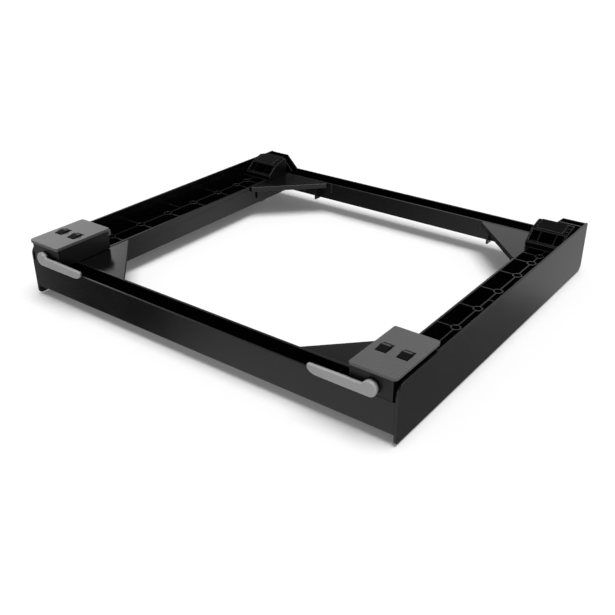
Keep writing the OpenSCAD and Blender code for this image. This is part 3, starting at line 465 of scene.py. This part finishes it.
# the separate solids of a node, each with its box and its corners
def islands(nodeName):
    work = bmesh.new()
    work.from_mesh(cadNodes[nodeName].data)
    bmesh.ops.remove_doubles(work, verts=work.verts, dist=islandReach)
    seen, found = set(), []
    for first in work.verts:
        if first in seen:
            continue
        seen.add(first)
        stack, group = [first], []
        while stack:
            vert = stack.pop()
            group.append(vert.co.copy())
            for edge in vert.link_edges:
                other = edge.other_vert(vert)
                if other not in seen:
                    seen.add(other)
                    stack.append(other)
        low = Vector([min(c[i] for c in group) for i in range(3)])
        high = Vector([max(c[i] for c in group) for i in range(3)])
        found.append((low, high, group))
    work.free()
    return found


def driveScrews(nodeName, tree):
    look = screwLooks[nodeName]
    points, facings, length = [], [], 0
    for low, high, group in islands(nodeName):
        size, middle = high - low, (low + high) / 2
        axis = max(range(3), key=lambda i: size[i])
        across = (axis + 1) % 3

        def radiusAt(end):
            near = [c for c in group if abs(c[axis] - end) < look["height"] * 0.5]
            return max(abs(c[across] - middle[across]) for c in near)

        headUp = radiusAt(high[axis]) > radiusAt(low[axis])
        facing = Vector((0, 0, 0))
        facing[axis] = 1 if headUp else -1
        point = middle.copy()
        point[axis] = high[axis] - look["height"] if headUp else low[axis] + look["height"]
        length = size[axis] - look["height"]
        points.append(point)
        facings.append(facing)
    standFor(grown(nodeName + "_driven", tree, points, screwSizes(look, length), facings), nodeName)


panScrews = screwTree()
for nodeName in screwLooks:
    driveScrews(nodeName, panScrews)


# coil and wire are radii and usualHeight a height, in metres; steps are the points of one turn and sides the
# wire's; keep is the share of its height that a spring still has with the brake pressed
springLook = dict(coil=0.0032, wire=0.00045, turns=4.5, steps=28, sides=10, usualHeight=0.0088, keep=0.7)


def springSizes(height):
    return {"Coil Radius": springLook["coil"], "Wire Radius": springLook["wire"], "Turns": springLook["turns"],
            "Height": height}


def coilTree():
    tree, take, end = newTree("returnSprings", springSizes(springLook["usualHeight"]))
    spiral = firstOut(tree, "GeometryNodeCurveSpiral", {
        "Resolution": springLook["steps"], "Rotations": take["Turns"], "Start Radius": take["Coil Radius"],
        "End Radius": take["Coil Radius"], "Height": take["Height"]})
    ring = firstOut(tree, "GeometryNodeCurvePrimitiveCircle", {"Resolution": springLook["sides"],
                                                               "Radius": take["Wire Radius"]})
    wire = firstOut(tree, "GeometryNodeCurveToMesh", {"Curve": spiral, "Profile Curve": ring, "Fill Caps": True})
    placed = firstOut(tree, "GeometryNodeInstanceOnPoints", {"Points": take[0], "Instance": wire})
    closeTree(tree, end, placed, finishes["zincSteel"])
    return tree


# the springs stand on the frame
returnSprings = coilTree()
for side in ("left", "right"):
    nodeName = side + "_brake_springs"
    low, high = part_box(nodeName)
    middleX = (low.x + high.x) / 2
    ends = (low.y + springLook["coil"] + springLook["wire"], high.y - springLook["coil"] - springLook["wire"])
    piece = grown(nodeName + "_coiled", returnSprings, [(middleX, y, low.z + springLook["wire"]) for y in ends],
                  springSizes(high.z - low.z - 2 * springLook["wire"]))
    standFor(piece, nodeName, "frame")
    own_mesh(piece)
print("screws and springs grown")


# wall is the rubber over the rim and corner rounds its shoulders, in metres; ribs stand proud of the tread by
# ribDepth, and are ribSink times as deep in all; ribShare is a rib's width to the ribs' spacing, and ribAcross
# its length to the tyre's width
tyreLook = dict(wall=0.00398, corner=0.0013, ribs=36, ribDepth=0.0005, ribSink=1.8, ribShare=0.55, ribAcross=0.8,
                ringSteps=96, cornerSteps=4, usualOuter=0.02, usualWidth=0.012)


def tyreSizes(outer, width):
    return {"Outer Radius": outer, "Wall": tyreLook["wall"], "Width": width, "Corner": tyreLook["corner"],
            "Ribs": tyreLook["ribs"], "Rib Depth": tyreLook["ribDepth"],
            "Rib Width": math.tau * outer / tyreLook["ribs"] * tyreLook["ribShare"],
            "Rib Across": width * tyreLook["ribAcross"]}


def tyreTree():
    tree, take, end = newTree("rollerTyres", tyreSizes(tyreLook["usualOuter"], tyreLook["usualWidth"]))
    tread = mathOut(tree, "SUBTRACT", take["Outer Radius"], take["Rib Depth"])
    thick = mathOut(tree, "SUBTRACT", take["Wall"], take["Rib Depth"])
    middle = mathOut(tree, "SUBTRACT", tread, mathOut(tree, "MULTIPLY", thick, 0.5))
    ring = firstOut(tree, "GeometryNodeCurvePrimitiveCircle", {"Resolution": tyreLook["ringSteps"],
                                                               "Radius": middle})
    section = firstOut(tree, "GeometryNodeCurvePrimitiveQuadrilateral", {"Width": thick, "Height": take["Width"]})
    rounded = firstOut(tree, "GeometryNodeFilletCurve", {
        "Curve": section, "Count": tyreLook["cornerSteps"], "Radius": take["Corner"]}, mode="POLY")
    carcass = firstOut(tree, "GeometryNodeCurveToMesh", {"Curve": ring, "Profile Curve": rounded})
    carcass = firstOut(tree, "GeometryNodeSetShadeSmooth", {"Geometry": carcass})
    ribSize = vectorOut(tree, X=mathOut(tree, "MULTIPLY", take["Rib Depth"], tyreLook["ribSink"]),
                        Y=take["Rib Width"], Z=take["Rib Across"])
    rib = firstOut(tree, "GeometryNodeMeshCube", {"Size": ribSize})
    seats = firstOut(tree, "GeometryNodeMeshCircle", {"Vertices": take["Ribs"], "Radius": tread})
    outward = firstOut(tree, "FunctionNodeAlignRotationToVector",
                       {"Vector": firstOut(tree, "GeometryNodeInputPosition")}, axis="X")
    ribs = firstOut(tree, "GeometryNodeInstanceOnPoints", {"Points": seats, "Instance": rib, "Rotation": outward})
    upright = firstOut(tree, "GeometryNodeTransform", {"Geometry": joinOut(tree, carcass, ribs),
                                                       "Rotation": (0.0, math.radians(90), 0.0)})
    placed = firstOut(tree, "GeometryNodeInstanceOnPoints", {"Points": take[0], "Instance": upright})
    closeTree(tree, end, placed, finishes["tyreRubber"])
    return tree


rollerTyres = tyreTree()
for nodeName in [n for n in cadNodes if n.endswith("_tyre")]:
    low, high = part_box(nodeName)
    sizes = tyreSizes((high.z - low.z) / 2, high.x - low.x)
    standFor(grown(nodeName + "_ribbed", rollerTyres, [(low + high) / 2], sizes), nodeName)
print("tyres grown")


# colour is the floor's own; lift the camera's white added to it; it turns into plain white from nearFade to
# farFade and lies a little below the part, in metres
stageLook = dict(radius=9.0, sides=96, below=0.0002, nearFade=0.75, farFade=1.7, colour=0.93, lift=0.09)


# rays from the camera, and those that pass through something clear
def seenOut(tree, path):
    return mathOut(tree, "MAXIMUM", path["Is Camera Ray"], path["Is Transmission Ray"])


def makeFloor():
    mesh = bpy.data.meshes.new("studioFloor")
    work = bmesh.new()
    bmesh.ops.create_circle(work, cap_ends=True, segments=stageLook["sides"], radius=stageLook["radius"])
    for vert in work.verts:
        vert.co.z = -stageLook["below"]
    work.to_mesh(mesh)
    work.free()
    floor = newPiece("studioFloor", mesh)
    floor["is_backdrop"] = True
    material = bpy.data.materials.new("studioFloor")
    material.use_nodes = True
    tree = material.node_tree
    tree.nodes.clear()
    place = newNode(tree, "ShaderNodeTexCoord").outputs["Object"]
    distance = newNode(tree, "ShaderNodeVectorMath", {0: place}, operation="LENGTH").outputs["Value"]
    path = newNode(tree, "ShaderNodeLightPath").outputs
    seen = seenOut(tree, path)
    paper = firstOut(tree, "ShaderNodeBsdfDiffuse", {"Color": grey(stageLook["colour"])})
    lift = firstOut(tree, "ShaderNodeEmission",
                    {"Color": grey(1.0), "Strength": mathOut(tree, "MULTIPLY", seen, stageLook["lift"])})
    near = firstOut(tree, "ShaderNodeAddShader", {0: paper, 1: lift})
    far = firstOut(tree, "ShaderNodeEmission", {"Color": grey(1.0), "Strength": seen})
    fade = rangeOut(tree, distance, stageLook["nearFade"], stageLook["farFade"])
    both = firstOut(tree, "ShaderNodeMixShader", {0: fade, 1: near, 2: far})
    # glossy faces look through the floor at the studio's own glow, and so does a view from below
    under = newNode(tree, "ShaderNodeNewGeometry").outputs["Backfacing"]
    away = mathOut(tree, "MAXIMUM", path["Is Glossy Ray"], mathOut(tree, "MULTIPLY", under, seen))
    clear = firstOut(tree, "ShaderNodeBsdfTransparent")
    whole = firstOut(tree, "ShaderNodeMixShader", {0: away, 1: both, 2: clear})
    newNode(tree, "ShaderNodeOutputMaterial", {"Surface": whole})
    mesh.materials.append(material)


# soft light all round, and one broad lamp overhead; spread is the lamp's width in degrees, and leaning points
# from the part to the lamp
lightLook = dict(around=0.26, overhead=2.45, spread=40, leaning=(0.16, -0.04, 1.0))
# what glossy faces mirror: a plain glow with soft cards in it, later ones over earlier ones. Bearing runs from +Y
# towards +X and height is above the horizon, in degrees; core and rim are the radii, in degrees, where a card is
# full and where it ends; tone is its brightness
glowLook = dict(plain=0.69)
glowCards = {
    "overheadDark": dict(bearing=0, height=90, core=57, rim=66, tone=0.14),
    "rearMiddleDark": dict(bearing=-39, height=18, core=5.5, rim=10, tone=0.03),
    "rearLeftWindow": dict(bearing=-61, height=22, core=8, rim=10.5, tone=1.4),
    "leftSideDark": dict(bearing=62, height=-24, core=10, rim=20, tone=0.08),
    "frontLeftDark": dict(bearing=-128, height=-26.5, core=4, rim=7.5, tone=0.0),
    "frontMiddleDark": dict(bearing=-143, height=-14, core=7, rim=17, tone=0.04),
    "rearRightWindow": dict(bearing=41, height=-20.5, core=3, rim=11, tone=0.95),
    "rearRightGlow": dict(bearing=18, height=-22, core=4, rim=8, tone=0.5),
    "rearRightDark": dict(bearing=22, height=-36.5, core=10.2, rim=10.9, tone=0.13),
    "rearLeftDark": dict(bearing=36, height=-18.5, core=4.2, rim=6.6, tone=0.0),
    "floorBehindDark": dict(bearing=-39, height=-28, core=8, rim=12, tone=0.02),
    "floorLeftDark": dict(bearing=-66, height=-23, core=7, rim=11, tone=0.03),
}


def makeStudio():
    world = bpy.data.worlds.new("studio")
    bpy.context.scene.world = world
    world.use_nodes = True
    tree = world.node_tree
    tree.nodes.clear()
    toward = newNode(tree, "ShaderNodeTexCoord").outputs["Generated"]
    glow = grey(glowLook["plain"])
    for card in glowCards.values():
        b, h = math.radians(card["bearing"]), math.radians(card["height"])
        middle = (math.sin(b) * math.cos(h), math.cos(b) * math.cos(h), math.sin(h))
        near = newNode(tree, "ShaderNodeVectorMath", {0: toward, 1: middle}, operation="DOT_PRODUCT")
        cover = rangeOut(tree, near.outputs["Value"], math.cos(math.radians(card["rim"])),
                         math.cos(math.radians(card["core"])))
        glow = mixOut(tree, cover, glow, grey(card["tone"]))
    path = newNode(tree, "ShaderNodeLightPath").outputs
    tone = mixOut(tree, path["Is Glossy Ray"], grey(lightLook["around"]), glow)
    tone = mixOut(tree, seenOut(tree, path), tone, grey(1.0))
    sky = firstOut(tree, "ShaderNodeBackground", {"Color": tone, "Strength": 1.0})
    newNode(tree, "ShaderNodeOutputWorld", {"Surface": sky})
    sun = bpy.data.lights.new("overhead", "SUN")
    sun.energy = lightLook["overhead"]
    sun.angle = math.radians(lightLook["spread"])
    lamp = bpy.data.objects.new("overhead", sun)
    bpy.context.scene.collection.objects.link(lamp)
    lamp.rotation_mode = "QUATERNION"
    lamp.rotation_quaternion = Vector(lightLook["leaning"]).to_track_quat("Z", "Y")


# place in metres; ahead and right are the ways that the camera looks and that its picture's right side points;
# lens and sensor in millimetres
cameraLook = dict(place=(0.63807, -0.87022, 0.53707), ahead=(-0.528421, 0.70517, -0.472765),
                  right=(0.801181, 0.598415, -0.002911), lens=47.594, sensor=36, near=0.02, far=60)


def makeCamera():
    lens = bpy.data.cameras.new("camera")
    lens.sensor_width = cameraLook["sensor"]
    lens.sensor_fit = "HORIZONTAL"
    lens.lens = cameraLook["lens"]
    lens.clip_start, lens.clip_end = cameraLook["near"], cameraLook["far"]
    camera = bpy.data.objects.new("camera", lens)
    bpy.context.scene.collection.objects.link(camera)
    ahead, right = Vector(cameraLook["ahead"]).normalized(), Vector(cameraLook["right"]).normalized()
    up = right.cross(ahead).normalized()
    facing = Matrix((right, up, -ahead)).transposed().to_4x4()
    camera.matrix_world = Matrix.Translation(cameraLook["place"]) @ facing
    bpy.context.scene.camera = camera


makeFloor()
makeStudio()
makeCamera()
bpy.context.scene.view_settings.view_transform = "Standard"

low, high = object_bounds()
print("visual box in mm:", [round(1000 * (high[i] - low[i]), 1) for i in range(3)])
